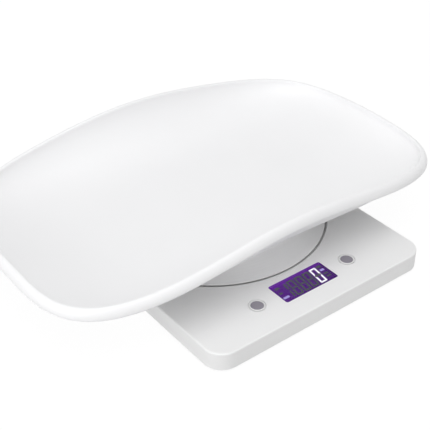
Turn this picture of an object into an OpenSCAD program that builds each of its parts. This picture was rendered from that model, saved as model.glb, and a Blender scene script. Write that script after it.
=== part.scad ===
// A low table scale for weighing babies: a flat casing with a display and two buttons, a round weighing pan
// on a bar load cell, and a long lift-off tray that a baby lies in.
// Millimetres. +Z is up, -Y is the front (the display's side) and +X is the right.
// The origin is on the table, under the middle of the whole scale's outline.

/* [Casing] */
// Width of the casing, left to right
casing_w = 200; // [196:1:240]
// Depth of the casing, front to back
casing_d = 238; // [234:1:280]
// Height of the casing's side wall
casing_h = 14.3; // [14:0.1:18]
// Radius of the casing's corners, seen from above
corner_r = 15; // [8:0.5:18]
// Rounding of the casing's upper edge
edge_r = 1.2; // [0.6:0.1:1.8]
// Wall of the top cover
cover_t = 2; // [1.8:0.1:2.4]
// Thickness of the bottom cover's floor
floor_t = 1.8; // [1.6:0.1:2.4]
// Gap between the bottom cover's edge and the top cover's wall
cover_gap = 0.2; // [0.1:0.05:0.4]
// Distance from the pan's edge forward to the casing's front
pan_to_front = 45.9; // [45:0.1:60]
// Distance from the casing's sides in to the casing screws
post_inset = 12; // [9:0.5:13]
// Radius of the top cover's posts that take the casing screws
post_r = 3.5; // [3.2:0.1:4]
// Shank radius of the casing screws
case_screw_r = 1.2; // [1:0.05:1.4]
// Length of the casing screws under their heads
case_screw_l = 8.5; // [6:0.5:9]

/* [Feet] */
// Height of the casing's underside above the table
foot_stand = 3.2; // [2.5:0.1:5]
// Radius of a rubber foot
foot_r = 8; // [6:0.5:9]
// Depth of the seat that a foot is glued into
foot_seat = 0.8; // [0.5:0.1:1]
// Distance from the casing's edges in to a foot's centre
foot_inset = 28; // [26:0.5:32]

/* [Weighing pan] */
// Outer radius of the pan
pan_r = 90.6; // [84:0.2:91]
// Radial gap between the pan and the casing around it
ring_gap = 1.7; // [1:0.1:2]
// Radius of the pan's flat top
pan_top_r = 60; // [58:0.5:64]
// Height of the pan's top above the casing
pan_rise = 14; // [13.5:0.1:20]
// Blend radius between the pan's top and its sloping side, which then sweeps out flat to the edge
pan_blend = 12; // [6:0.5:14]
// Wall of the pan
pan_t = 2.4; // [2:0.1:2.8]
// How far the pan's edge reaches down into the casing
pan_lip = 0.5; // [0.4:0.1:0.8]
// Width of the ledge in the casing under the pan's edge
ledge_w = 8; // [6:0.5:10]
// Thickness of that ledge
ledge_t = 1.4; // [1.2:0.1:1.6]
// Free height between the pan's edge and the ledge
ledge_drop = 2.5; // [2.4:0.1:2.8]

/* [Load cell] */
// Length of the load cell bar
cell_l = 80; // [76:1:84]
// Side of the bar's square section
cell_s = 12.7; // [12:0.1:13]
// Radius of the two bores that thin the bar's middle
cell_bore_r = 4.5; // [3.5:0.1:5]
// Distance between those bores
cell_bore_pitch = 12; // [10.5:0.5:14]
// Distance from the bar's end to its first screw hole
cell_hole_inset = 5; // [4.5:0.5:6]
// Distance between the two screw holes at each end
cell_hole_pitch = 15; // [12:0.5:16]
// Shank radius of the load cell screws
cell_screw_r = 2; // [1.5:0.1:2.1]
// Running clearance of a screw in its hole, on the radius
screw_gap = 0.05; // [0.03:0.01:0.1]
// Thickness of the steel spacers under and over the bar
spacer_t = 1.5; // [1.2:0.1:2]
// Height of the bottom cover's boss under the bar
cell_boss_h = 2.5; // [2.2:0.1:3]
// Thickness of the cross that carries the pan
carrier_t = 4; // [3.4:0.1:4.2]
// Length of the cross's arms from its centre
carrier_arm = 56; // [52:0.5:58]
// Width of the cross's arms
carrier_w = 18; // [16:0.5:22]
// Travel of the pan at full load
pan_travel = 0.6; // [0.3:0.05:0.7]

/* [Tray] */
// Overall length of the tray
tray_l = 357; // [320:1:400]
// Overall width of the tray
tray_w = 220; // [205:1:240]
// How far to the left of the pan's middle the tray stands, as it was put down
tray_shift = 5.5; // [0:0.1:8]
// Squareness of the tray's outline: 2 is an ellipse, higher is squarer
rim_square = 4.1; // [2.6:0.1:5]
// Radius of the rim's rounded inner edge
rim_roll = 1.6; // [1.2:0.1:2]
// How far the rim's rounded outer side reaches out
bead_w = 4.2; // [3.6:0.1:5.5]
// Height of that rounded outer side
bead_h = 6.5; // [5:0.1:7.5]
// Wall of the tray
tray_t = 2; // [1.6:0.1:2.2]
// Height of the skirt that hangs from the rounded side
skirt_h = 1.5; // [0.5:0.1:6]
// How far the skirt leans outward
skirt_flare = 0.5; // [0:0.1:1.5]
// Height of the rim above the casing's top, at the middle of the long sides
rim_mid = 56.2; // [46:0.1:70]
// Height of the rim above the casing's top, at the middle of the ends
rim_end = 39; // [30:0.5:45]
// Depth of the dip in the rim toward the corners
rim_wave = 3.9; // [0:0.1:5]
// Share of the tray's width and length that its flat floor takes
floor_share = 0.5; // [0.5:0.01:0.6]
// Squareness of the bowl's section: higher is a squarer bowl
bowl_square = 2; // [1.8:0.1:3.5]
// Outer radius of the rubber ring that the tray stands on
grip_r = 50; // [40:0.5:50]
// Width of that ring
grip_w = 7; // [4:0.5:10]
// Thickness of that ring
grip_t = 1.5; // [1:0.1:2.5]

/* [Display] */
// Width of the display's window
window_w = 50.1; // [44:0.1:56]
// Depth of the display's window
window_d = 21.6; // [20:0.1:23]
// Corner radius of the window
window_r = 1.6; // [0.8:0.1:2]
// Distance from the casing's front edge to the middle of the window and of the buttons
display_y = 27.2; // [25:0.1:28]
// Thickness of the window's clear lens
lens_t = 1; // [0.8:0.1:1.2]
// How far the lens lies below the casing's top
lens_sunk = 0.1; // [0.05:0.05:0.3]
// Width of the ledge that the lens is glued to
lens_ledge = 0.8; // [0.6:0.1:1.2]
// Thickness of the liquid crystal cell's lower glass
glass_t = 1.5; // [1.1:0.1:1.6]
// Thickness of the backlight
backlight_t = 2.5; // [2:0.1:2.8]
// Height between the circuit board and the top cover
display_h = 5.9; // [5.6:0.1:6.2]
// Height of a digit
digit_h = 16.6; // [12:0.1:17]
// Width of a digit
digit_w = 6; // [4.5:0.1:6.5]
// Distance from one digit to the next
digit_pitch = 7.6; // [7:0.1:7.8]
// Width of a digit's strokes
stroke = 1.4; // [0.8:0.05:1.6]
// Lean of the digits, in degrees
digit_lean = 7.5; // [0:0.5:10]

/* [Buttons] */
// Radius of a button's cap
button_r = 4.65; // [3.8:0.05:5]
// Distance between the two buttons
button_pitch = 87.4; // [84:0.2:90]
// Radial gap around a button's cap
button_gap = 0.2; // [0.15:0.05:0.3]
// Width of the ring around a button
bezel_w = 0.95; // [0.8:0.05:1.4]
// How far that ring stands above the casing
bezel_rise = 0.4; // [0.2:0.05:0.8]
// How far a button's cap stands above the casing
button_rise = 0.3; // [0.1:0.05:0.6]
// Thickness of the flange that keeps a button in
flange_t = 1; // [0.8:0.1:1.2]
// Travel of a button
button_travel = 0.5; // [0.25:0.05:0.6]
// Side of a push switch's square body
switch_s = 6; // [5:0.1:6.5]
// Height of a push switch's body
switch_h = 3.5; // [3.3:0.1:3.7]
// Radius of a push switch's plunger
plunger_r = 1.75; // [1.2:0.05:2]

/* [Circuit board] */
// Width of the circuit board
board_w = 112; // [110:1:130]
// Depth of the circuit board
board_d = 32; // [31:0.5:34]
// Thickness of the circuit board
board_t = 1.6; // [1.2:0.1:1.8]
// Shank radius of the board's screws
board_screw_r = 0.9; // [0.8:0.05:1.1]

/* [Batteries] */
// Radius of a battery
battery_r = 5.25; // [5:0.05:5.3]
// Length of a battery with its nub
battery_l = 44.5; // [43:0.1:46]
// Radius of a battery's nub
nub_r = 1.9; // [1.5:0.1:2.2]
// Height of a battery's nub
nub_h = 0.8; // [0.6:0.1:1.2]
// Distance from the pan's axis back to the middle of the batteries
battery_back = 46; // [44:0.5:50]
// Length of a battery spring, squeezed by its battery
spring_l = 5; // [4:0.1:6]
// Thickness of the battery door
door_t = 1.6; // [1.4:0.05:1.7]
// Gap around the battery door
door_gap = 0.3; // [0.2:0.05:0.4]
// Wall of the battery box
box_wall = 1.8; // [1.6:0.1:2.2]

/* [Hidden] */
$fn = 96;

// Heights above the table
floor_z = foot_stand + floor_t;
top_z = foot_stand + casing_h;
under_z = top_z - cover_t;
pan_top_z = top_z + pan_rise;
pan_edge_z = top_z - pan_lip;
ledge_z = pan_edge_z - ledge_drop;
cell_boss_z = floor_z + cell_boss_h;
cell_z = cell_boss_z + spacer_t;
cell_top_z = cell_z + cell_s;
carrier_z = cell_top_z + spacer_t;
carrier_top_z = carrier_z + carrier_t;
tray_under_z = pan_top_z + grip_t;
tray_floor_z = tray_under_z + tray_t;
board_top_z = under_z - display_h;
board_z = board_top_z - board_t;

// Places along X and Y: the outline's middle is at zero
reach_left = max(casing_w / 2, tray_l / 2 + tray_shift);
reach_right = max(casing_w / 2, tray_l / 2 - tray_shift);
pan_x = (reach_left - reach_right) / 2;
axis_to_front = pan_r + pan_to_front;
reach_front = max(axis_to_front, tray_w / 2);
reach_back = max(casing_d - axis_to_front, tray_w / 2);
pan_y = (reach_front - reach_back) / 2;
casing_front_y = pan_y - axis_to_front;
casing_mid_y = casing_front_y + casing_d / 2;
window_y = casing_front_y + display_y;

// Pan and casing
pan_hole_r = pan_r + ring_gap;
rim_soft = 0.3;
slope_run = pan_r - pan_top_r;
pan_slope = 2 * atan2(pan_rise, slope_run);
pan_sweep = slope_run / sin(pan_slope) - pan_blend;
bottom_inset = cover_t + cover_gap;
head_gap = 0.3;
tip_gap = 0.4;
root = 0.5;
case_head_r = 2.8;
case_head_h = 1.9;
case_seat_z = foot_stand + case_head_h + head_gap;
tower_wall = 1.4;
tower_z = case_seat_z + tower_wall;
tower_r = case_head_r + head_gap + tower_wall;
post_x = casing_w / 2 - post_inset;
post_front_y = casing_front_y + post_inset;
post_back_y = casing_front_y + casing_d - post_inset;
well_clear_r = pan_hole_r + cover_t + post_r + 2;
post_mid_y = pan_y - sqrt(max(0, pow(well_clear_r, 2) - pow(post_x, 2)));
POSTS = [for (x = [-post_x, post_x], y = [post_front_y, post_mid_y, post_back_y]) [x, y]];

// Load cell and carrier
cell_boss_l = cell_hole_inset + cell_hole_pitch + 6;
cell_boss_w = cell_s + 4;
cell_head_r = cell_screw_r * 1.8;
cell_head_h = 2.2;
cell_screw_reach = 7;
carrier_seat_z = carrier_top_z - cell_head_h;
stop_gap = pan_travel + 0.3;
rib_r = carrier_arm - 4;
rib_w = 2.5;
clip_w = 8;
clip_t = 1.6;
clip_gap = 0.2;
clip_nose = 1.2;
function cell_holes(side) = [for (d = [0, cell_hole_pitch]) side * (cell_l / 2 - cell_hole_inset - d)];

// Tray: its rim's middle line runs where the rim is highest
rim_a = tray_l / 2 - bead_w - skirt_flare;
rim_b = tray_w / 2 - bead_w - skirt_flare;
bead_z = rim_roll - bead_h;
around_steps = 96;
bowl_steps = 12;
roll_steps = 3;
bead_steps = 8;

// Display stack, from the window down
lens_top_z = top_z - lens_sunk;
lens_z = lens_top_z - lens_t;
ink_t = 0.15;
bar_gap = 0.12;
ink_drop = 0.1;
ink_z = lens_z - ink_drop - ink_t;
glass_gap = 0.1;
glass_low_z = under_z - glass_gap - glass_t;
backlight_z = glass_low_z - backlight_t;
opening_w = window_w - 2 * lens_ledge;
opening_d = window_d - 2 * lens_ledge;
opening_r = window_r - lens_ledge / 2;
plate_gap = 0.2;
glass_w = opening_w + 2.6;
glass_d = opening_d + 3;
strip_t = 2;
backlight_d = glass_d - strip_t - 1;
frame_gap = 0.2;
frame_wall = 1.5;
digits_x = 0.38 * digit_pitch;

// Small signs stand in the free strips beside the digits. Each is a strip and four shares: the sign's left
// and lower edge, then its width and its depth.
left_strip = [-opening_w / 2, digits_x - 3 * digit_pitch + digit_w - stroke];
right_strip = [digits_x + digit_pitch + digit_w + digit_h * tan(digit_lean), opening_w / 2];
LIT_SIGNS = [
    [left_strip, 0.09, -0.30, 0.61, 0.10],
    [right_strip, 0.16, 0.10, 0.64, 0.10]];
DARK_SIGNS = [
    [left_strip, 0.27, 0.26, 0.43, 0.10],
    [left_strip, 0.21, -0.02, 0.32, 0.09],
    [right_strip, 0.21, 0.31, 0.68, 0.11],
    [right_strip, 0.09, -0.11, 0.71, 0.07],
    [right_strip, 0.09, -0.28, 0.71, 0.08]];

// Buttons and switches
bezel_in_r = button_r + button_gap;
bezel_out_r = bezel_in_r + bezel_w;
barrel_r = bezel_in_r + bezel_w / 2;
barrel_gap = 0.05;
bezel_groove_w = 0.8;
bezel_groove_h = 1.2;
flange_r = barrel_r + 0.8;
plunger_h = 0.8;
plunger_z = board_top_z + switch_h;
flange_z = plunger_z + plunger_h;
left_x = -button_pitch / 2;
right_x = button_pitch / 2;

// Circuit board
board_front_y = window_y - board_d / 2;
board_post_r = 2.8;
board_hole_x = board_w / 2 - 4;
board_hole_y = board_d / 2 - 3.5;
BOARD_HOLES = [for (x = [-board_hole_x, board_hole_x], y = [-board_hole_y, board_hole_y]) [x, window_y + y]];
board_screw_l = 6;
board_head_r = 2.1;
board_head_h = 1.5;

// Batteries and their box
battery_gap = 0.3;
between = 0.8;
plate_t = 0.4;
battery_y = pan_y + battery_back;
battery_pitch = 2 * battery_r + between;
battery_z = foot_stand + door_t + battery_gap + battery_r;
box_in_l = battery_l + spring_l + 2 * plate_t;
box_in_d = battery_pitch + 2 * battery_r + between;
box_roof_z = battery_z + battery_r + battery_gap;
door_lap = 0.5;
door_l = box_in_l + 2 * door_lap;
door_d = box_in_d + 2 * door_lap;
hinge_y = battery_y - door_d / 2 + door_t / 2;
hinge_z = foot_stand + door_t / 2;
tab_w = 6;
tab_t = 1;
tab_reach = 1.7;
tab_rise = 0.1;
tab_root = 1;
tab_neck = 0.3;
tab_slot_h = 3.4;
tab_x = door_l / 4;
tongue_w = 12;
tongue_l = 7;
tongue_slot = 0.8;
hook_t = 0.9;
hook_h = 2.5;
groove_count = 3;
groove_pitch = 1.6;
groove_t = 0.35;
notch_r = 7;
wire_r = 0.6;
lead_r = 1.1;

// ---- Helpers ----

// The casing and all that it carries, but not the tray, have their middle on this line.
module on_middle() {
    translate([pan_x, 0, 0]) children();
}

module on_pan_axis() {
    translate([0, pan_y, 0]) children();
}

module on_tray_axis() {
    translate([pan_x - tray_shift, pan_y, 0]) children();
}

module rod(r, z0, z1) {
    translate([0, 0, z0]) cylinder(h = z1 - z0, r = r);
}

module ring(r_out, r_in, z0, z1) {
    difference() {
        rod(r_out, z0, z1);
        rod(r_in, z0 - 1, z1 + 1);
    }
}

module block(w, d, z0, z1) {
    translate([-w / 2, -d / 2, z0]) cube([w, d, z1 - z0]);
}

// End view of a rounded wall: x runs outward from a corner's centre and y is the height.
module wall_profile(r, z0, z1, fillet) {
    translate([0, z0]) square([r, z1 - fillet - z0]);
    if (fillet > 0) {
        translate([0, z1 - 2 * fillet]) square([r - fillet, 2 * fillet]);
        translate([r - fillet, z1 - fillet]) circle(fillet);
    }
}

// A slab with round corners and, where fillet is above zero, a rounded upper edge.
module rounded_slab(w, d, z0, z1, r, fillet = 0) {
    hx = w / 2 - r;
    hy = d / 2 - r;
    block(2 * hx, 2 * hy, z0, z1);
    for (quarter = [[hx, hy, 0], [-hx, hy, 90], [-hx, -hy, 180], [hx, -hy, 270]])
        translate([quarter[0], quarter[1], 0])
            rotate([0, 0, quarter[2]])
                rotate_extrude(angle = 90) wall_profile(r, z0, z1, fillet);
    for (side = [0, 1])
        mirror([0, side, 0])
            translate([-hx, hy, 0])
                rotate([90, 0, 90]) linear_extrude(2 * hx) wall_profile(r, z0, z1, fillet);
    for (side = [0, 1])
        mirror([side, 0, 0])
            translate([hx, hy, 0])
                rotate([90, 0, 0]) linear_extrude(2 * hy) wall_profile(r, z0, z1, fillet);
}

module screw(r, l, head_r, head_h, z_seat) {
    rod(r, z_seat, z_seat + l);
    difference() {
        rod(head_r, z_seat - head_h, z_seat);
        for (turn = [0, 90])
            rotate([0, 0, turn])
                block(head_r * 1.2, head_r * 0.25, z_seat - head_h - 1, z_seat - head_h * 0.45);
    }
}

// A tube along a list of points: each ring keeps the last ring's direction, turned as little as possible.
function unit(v) = v / norm(v);
function along(path, i) = unit(path[min(i + 1, len(path) - 1)] - path[max(i - 1, 0)]);
function across(v, t) = unit(v - (v * t) * t);
function tube_sides(path, i, last) =
    i == len(path) ? [] :
    let(side = across(last, along(path, i))) concat([side], tube_sides(path, i + 1, side));

module tube(path, r, sides = 8, first = [0, 0, 1]) {
    side_list = tube_sides(path, 0, first);
    count = len(path);
    points = [for (i = [0 : count - 1])
        let(u = side_list[i], v = cross(along(path, i), u))
            for (k = [0 : sides - 1]) path[i] + r * cos(360 * k / sides) * u + r * sin(360 * k / sides) * v];
    walls = [for (i = [0 : count - 2], k = [0 : sides - 1])
        let(a = i * sides + k, b = i * sides + (k + 1) % sides)
            each [[a, b + sides, b], [a, a + sides, b + sides]]];
    start = [for (k = [1 : sides - 2]) [0, k, k + 1]];
    end = let(e = (count - 1) * sides) [for (k = [1 : sides - 2]) [e, e + k + 1, e + k]];
    polyhedron(points, concat(start, walls, end), convexity = 10);
}

// ---- Tray ----

function rim_scale(a) = pow(pow(abs(cos(a)), rim_square) + pow(abs(sin(a)), rim_square), -1 / rim_square);
function rim_at(a) = rim_scale(a) * [rim_a * cos(a), rim_b * sin(a)];
function rim_normal(a) = unit([
    sign(cos(a)) * pow(abs(cos(a)), rim_square - 1) / rim_a,
    sign(sin(a)) * pow(abs(sin(a)), rim_square - 1) / rim_b]);
function rim_z(a) = top_z + (rim_mid + rim_end) / 2 - rim_wave
    + (rim_end - rim_mid) / 2 * cos(2 * a) + rim_wave * cos(4 * a);

// A point of the rim's own section: out is measured outward from the rim's middle line, up from the level of
// the bowl's edge.
function rim_point(a, out, up) = let(p = rim_at(a) + out * rim_normal(a)) [p[0], p[1], rim_z(a) + up];

// A point of the bowl. climb is 0 at the edge of the flat floor and 90 at the rim, and the point is moved
// square to the surface by depth, which gives the underside.
function bowl_point(a, climb, depth) =
    let(n = rim_normal(a),
        w = rim_at(a) - rim_roll * n,
        h = rim_z(a) - tray_floor_z,
        f = pow(sin(climb), 2 / bowl_square),
        g = pow(cos(climb), 2 / bowl_square),
        lean = [pow(f, bowl_square - 1) / ((1 - floor_share) * norm(w)), pow(g, bowl_square - 1) / h],
        push = depth * unit(lean),
        p = (floor_share + (1 - floor_share) * f) * w + push[0] * n)
    [p[0], p[1], rim_z(a) - h * g - push[1]];

// A point of the rim's rounded side, a quarter of an ellipse: tilt is 0 at its foot and 90 at the crest.
function bead_point(a, tilt, depth) =
    rim_point(a, (bead_w - depth) * cos(tilt), bead_z + (bead_h - depth) * sin(tilt));

// The wall's outline at one place around the tray: up the bowl, over the rim, down its rounded side and the
// skirt, and back under.
function tray_section(a) = concat(
    [for (i = [0 : bowl_steps]) bowl_point(a, 90 * i / bowl_steps, 0)],
    [for (i = [1 : roll_steps])
        let(b = 90 * i / roll_steps) rim_point(a, -rim_roll * cos(b), rim_roll * sin(b))],
    [for (i = [bead_steps - 1 : -1 : 0]) bead_point(a, 90 * i / bead_steps, 0)],
    [rim_point(a, bead_w + skirt_flare, bead_z - skirt_h),
     rim_point(a, bead_w + skirt_flare - tray_t, bead_z - skirt_h)],
    [bead_point(a, 0, tray_t), bead_point(a, 35, tray_t)],
    [for (i = [bowl_steps : -1 : 0]) bowl_point(a, 90 * i / bowl_steps, tray_t)]);

module tray() {
    sections = [for (k = [0 : around_steps - 1]) tray_section(360 * k / around_steps)];
    rows = len(sections[0]);
    ring_points = [for (s = sections) each s];
    centre_top = len(ring_points);
    centre_under = centre_top + 1;
    walls = [for (k = [0 : around_steps - 1], i = [0 : rows - 2])
        let(a = k * rows + i, b = ((k + 1) % around_steps) * rows + i)
            each [[a, a + 1, b + 1], [a, b + 1, b]]];
    floor_fan = [for (k = [0 : around_steps - 1]) [k * rows, ((k + 1) % around_steps) * rows, centre_top]];
    under_fan = [for (k = [0 : around_steps - 1])
        [((k + 1) % around_steps) * rows + rows - 1, k * rows + rows - 1, centre_under]];
    points = concat(ring_points, [[0, 0, tray_floor_z], [0, 0, tray_under_z]]);
    color("white") on_tray_axis()
        polyhedron(points, concat(walls, floor_fan, under_fan), convexity = 10);
}

module grip_ring() {
    color("gainsboro") on_tray_axis() ring(grip_r, grip_r - grip_w, pan_top_z, tray_under_z);
}

// ---- Pan and load cell ----

// The pan's section: flat, over the blend, then down a hollow sweep that ends flat at the edge. Its underside
// runs alongside, and thins out over the last few degrees.
function blend_point(a, depth) = [pan_top_r, pan_top_z - pan_blend] + (pan_blend - depth) * [sin(a), cos(a)];
function sweep_point(a, depth) = [pan_r, top_z + pan_sweep] - (pan_sweep + depth) * [sin(a), cos(a)];

module pan_profile() {
    folds = 10;
    thin_from = 14;
    polygon(concat(
        [[0, pan_top_z]],
        [for (i = [0 : folds]) blend_point(pan_slope * i / folds, 0)],
        [for (i = [folds - 1 : -1 : 1]) sweep_point(pan_slope * i / folds, 0)],
        [[pan_r - rim_soft, top_z], [pan_r, top_z - rim_soft / 2], [pan_r, top_z - pan_lip]],
        [for (i = [0 : folds]) sweep_point(thin_from + (pan_slope - thin_from) * i / folds, pan_t)],
        [for (i = [folds - 1 : -1 : 0]) blend_point(pan_slope * i / folds, pan_t)],
        [[0, pan_top_z - pan_t]]));
}

// The pan's skin, with a rib that stands on the carrier and four clips that hook under its arms.
module weighing_pan() {
    color("whitesmoke") on_middle() on_pan_axis() {
        rotate_extrude() pan_profile();
        ring(rib_r, rib_r - rib_w, carrier_top_z, pan_top_z - pan_t / 2);
        for (turn = [0 : 90 : 270])
            rotate([0, 0, turn]) {
                translate([carrier_arm + clip_gap + clip_t / 2, 0, 0])
                    block(clip_t, clip_w, carrier_z - clip_gap - clip_nose, pan_top_z - pan_t / 2);
                translate([carrier_arm + clip_gap - clip_nose / 2, 0, 0])
                    block(clip_nose + 0.02, clip_w, carrier_z - clip_gap - clip_nose, carrier_z - clip_gap);
            }
    }
}

module pan_carrier() {
    color("lightgray") on_middle() on_pan_axis() difference() {
        union() {
            block(2 * carrier_arm, carrier_w, carrier_z, carrier_top_z);
            block(carrier_w, 2 * carrier_arm, carrier_z, carrier_top_z);
            rod(carrier_w, carrier_z, carrier_top_z);
        }
        for (x = cell_holes(1))
            translate([x, 0, 0]) {
                rod(cell_screw_r + screw_gap, carrier_z - 1, carrier_top_z + 1);
                rod(cell_head_r + head_gap, carrier_seat_z, carrier_top_z + 1);
            }
    }
}

module cell_plate(side, z) {
    on_pan_axis() difference() {
        translate([side * (cell_l - cell_boss_l) / 2, 0, 0]) block(cell_boss_l, cell_s, z, z + spacer_t);
        for (x = cell_holes(side))
            translate([x, 0, 0]) rod(cell_screw_r + screw_gap, z - 1, z + spacer_t + 1);
    }
}

module carrier_spacer() {
    color("silver") on_middle() cell_plate(1, cell_top_z);
}

module load_cell_spacer() {
    color("silver") on_middle() cell_plate(-1, cell_boss_z);
}

module carrier_screws() {
    color("silver") on_middle() on_pan_axis()
        for (x = cell_holes(1))
            translate([x, 0, 2 * carrier_seat_z])
                mirror([0, 0, 1])
                    screw(cell_screw_r, carrier_seat_z - cell_top_z + cell_screw_reach,
                        cell_head_r, cell_head_h, carrier_seat_z);
}

module load_cell_screws() {
    seat_z = foot_stand + cell_head_h + head_gap;
    color("silver") on_middle() on_pan_axis()
        for (x = cell_holes(-1))
            translate([x, 0, 0])
                screw(cell_screw_r, cell_z - seat_z + cell_screw_reach, cell_head_r, cell_head_h, seat_z);
}

module load_cell_bar() {
    middle_z = cell_z + cell_s / 2;
    color("gainsboro") on_middle() on_pan_axis() difference() {
        block(cell_l, cell_s, cell_z, cell_top_z);
        for (x = concat(cell_holes(-1), cell_holes(1)))
            translate([x, 0, 0]) rod(cell_screw_r + screw_gap, cell_z - 1, cell_top_z + 1);
        for (x = [-cell_bore_pitch / 2, cell_bore_pitch / 2])
            translate([x, cell_s, middle_z]) rotate([90, 0, 0]) cylinder(h = 2 * cell_s, r = cell_bore_r);
        translate([0, 0, middle_z]) block(cell_bore_pitch, 2 * cell_s, -cell_bore_r / 2, cell_bore_r / 2);
    }
}

// Four foil gauges, one over and one under each bore, beneath their dabs of sealant.
module strain_gauges() {
    gauge_l = 7;
    gauge_w = 8;
    gauge_t = 0.5;
    color("whitesmoke") on_middle() on_pan_axis()
        for (x = [-cell_bore_pitch / 2, cell_bore_pitch / 2], z = [cell_z - gauge_t, cell_top_z])
            translate([x, 0, 0]) block(gauge_l, gauge_w, z, z + gauge_t);
}

// ---- Covers and feet ----

module window_cut(w, d, r, z0, z1) {
    translate([0, window_y, 0]) rounded_slab(w, d, z0, z1, r);
}

module top_cover() {
    color("white") on_middle() difference() {
        union() {
            difference() {
                translate([0, casing_mid_y, 0])
                    rounded_slab(casing_w, casing_d, foot_stand, top_z, corner_r, edge_r);
                translate([0, casing_mid_y, 0])
                    rounded_slab(casing_w - 2 * cover_t, casing_d - 2 * cover_t, foot_stand - 1, under_z,
                        corner_r - cover_t);
            }
            on_pan_axis() rod(pan_hole_r + cover_t, ledge_z - ledge_t, under_z);
            for (p = POSTS)
                translate(p) rod(post_r, tower_z, under_z);
            for (p = BOARD_HOLES)
                translate(p) rod(board_post_r, board_top_z, under_z);
        }
        on_pan_axis() {
            rod(pan_hole_r, ledge_z, top_z + 1);
            rod(pan_hole_r - ledge_w, ledge_z - ledge_t - 1, top_z + 1);
            translate([0, 0, top_z - rim_soft])
                cylinder(h = 2 * rim_soft, r1 = pan_hole_r, r2 = pan_hole_r + 2 * rim_soft);
        }
        for (p = POSTS)
            translate(p) rod(case_screw_r + screw_gap, tower_z - 1, case_seat_z + case_screw_l + tip_gap);
        for (p = BOARD_HOLES)
            translate(p) rod(board_screw_r + screw_gap, board_top_z - 1, board_z + board_screw_l + tip_gap);
        window_cut(window_w, window_d, window_r, lens_z, top_z + 1);
        window_cut(opening_w, opening_d, opening_r, under_z - 1, top_z + 1);
        for (x = [left_x, right_x])
            translate([x, window_y, 0]) {
                rod(barrel_r + barrel_gap, under_z - 1, top_z + 1);
                ring(bezel_out_r + bezel_groove_w, bezel_out_r, top_z - bezel_groove_h, top_z + 1);
            }
    }
}

module bottom_cover() {
    color("white") on_middle() difference() {
        union() {
            translate([0, casing_mid_y, 0])
                rounded_slab(casing_w - 2 * bottom_inset, casing_d - 2 * bottom_inset,
                    foot_stand, floor_z, corner_r - bottom_inset);
            for (p = POSTS)
                translate(p) rod(tower_r, floor_z - root, tower_z);
            on_pan_axis() {
                translate([-(cell_l - cell_boss_l) / 2, 0, 0])
                    block(cell_boss_l, cell_boss_w, floor_z - root, cell_boss_z);
                translate([cell_l / 2 - cell_hole_inset / 2, 0, 0])
                    block(cell_hole_inset, cell_s, floor_z - root, cell_z - stop_gap);
            }
            translate([0, battery_y, 0])
                block(box_in_l + 2 * box_wall, box_in_d + 2 * box_wall,
                    floor_z - root, box_roof_z + box_wall);
            stiffening_ribs();
        }
        for (p = POSTS)
            translate(p) {
                rod(case_screw_r + head_gap, foot_stand, tower_z + 1);
                rod(case_head_r + head_gap, foot_stand - 1, case_seat_z);
            }
        on_pan_axis()
            for (x = cell_holes(-1))
                translate([x, 0, 0]) {
                    rod(cell_screw_r + screw_gap, foot_stand, cell_boss_z + 1);
                    rod(cell_head_r + head_gap, foot_stand - 1, foot_stand + cell_head_h + head_gap);
                }
        for (p = feet())
            translate(p) rod(foot_r + cover_gap, foot_stand - 1, foot_stand + foot_seat);
        battery_box_cut();
    }
}

// Low walls on the floor from the load cell's boss to the battery box and to the front.
module stiffening_ribs() {
    rib_h = 2.4;
    rib_t = 1.4;
    on_pan_axis()
        for (x = [-cell_l / 2 + 3, -cell_l / 2 + cell_boss_l - 3])
            translate([x, 0, 0]) {
                translate([0, (battery_back - box_in_d / 2 - box_wall) / 2, 0])
                    block(rib_t, battery_back - box_in_d / 2 - box_wall, floor_z - root, floor_z + rib_h);
                translate([0, -pan_r / 2 + cell_boss_w / 4, 0])
                    block(rib_t, pan_r - cell_boss_w / 2, floor_z - root, floor_z + rib_h);
            }
}

module battery_box_cut() {
    translate([0, battery_y, 0]) {
        block(box_in_l, box_in_d, floor_z - 1, box_roof_z);
        block(door_l + 2 * door_gap, door_d + 2 * door_gap, foot_stand - 1, floor_z);
        for (x = [-tab_x, tab_x])
            translate([x, -box_in_d / 2 - box_wall / 2, 0])
                block(tab_w + 2 * door_gap, box_wall + 4, floor_z, floor_z + tab_slot_h);
        translate([0, box_in_d / 2, 0])
            block(tongue_w + 2, 2 * door_lap + 2 * door_gap, floor_z - 1, floor_z + hook_h + tip_gap);
        translate([0, door_d / 2 + notch_r * 0.45, 0])
            rod(notch_r, foot_stand - 1, foot_stand + floor_t * 0.5);
    }
}

function feet() = [
    for (y = [casing_front_y + foot_inset, casing_front_y + casing_d - foot_inset],
         x = [-(casing_w / 2 - foot_inset), casing_w / 2 - foot_inset]) [x, y]];

// A rubber foot: a disc with a softened lower edge.
module foot(place) {
    soft = foot_r * 0.12;
    color("darkgray") on_middle() translate(place) rotate_extrude()
        polygon([[0, 0], [foot_r - soft, 0], [foot_r, soft], [foot_r, foot_stand + foot_seat],
            [0, foot_stand + foot_seat]]);
}

module casing_screws() {
    color("silver") on_middle()
        for (p = POSTS)
            translate(p) screw(case_screw_r, case_screw_l, case_head_r, case_head_h, case_seat_z);
}

// ---- Display ----

module display_lens() {
    lens_gap = 0.1;
    color("indigo") on_middle()
        window_cut(window_w - 2 * lens_gap, window_d - 2 * lens_gap, window_r - lens_gap, lens_z, lens_top_z);
}

module lcd_glass() {
    glass_top_z = glass_low_z + glass_t;
    color("darkslateblue") on_middle() {
        translate([0, window_y, 0]) block(glass_w, glass_d, glass_low_z, glass_top_z);
        window_cut(opening_w - 2 * plate_gap, opening_d - 2 * plate_gap, opening_r - plate_gap,
            glass_top_z - plate_gap / 2, ink_z);
    }
}

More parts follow.
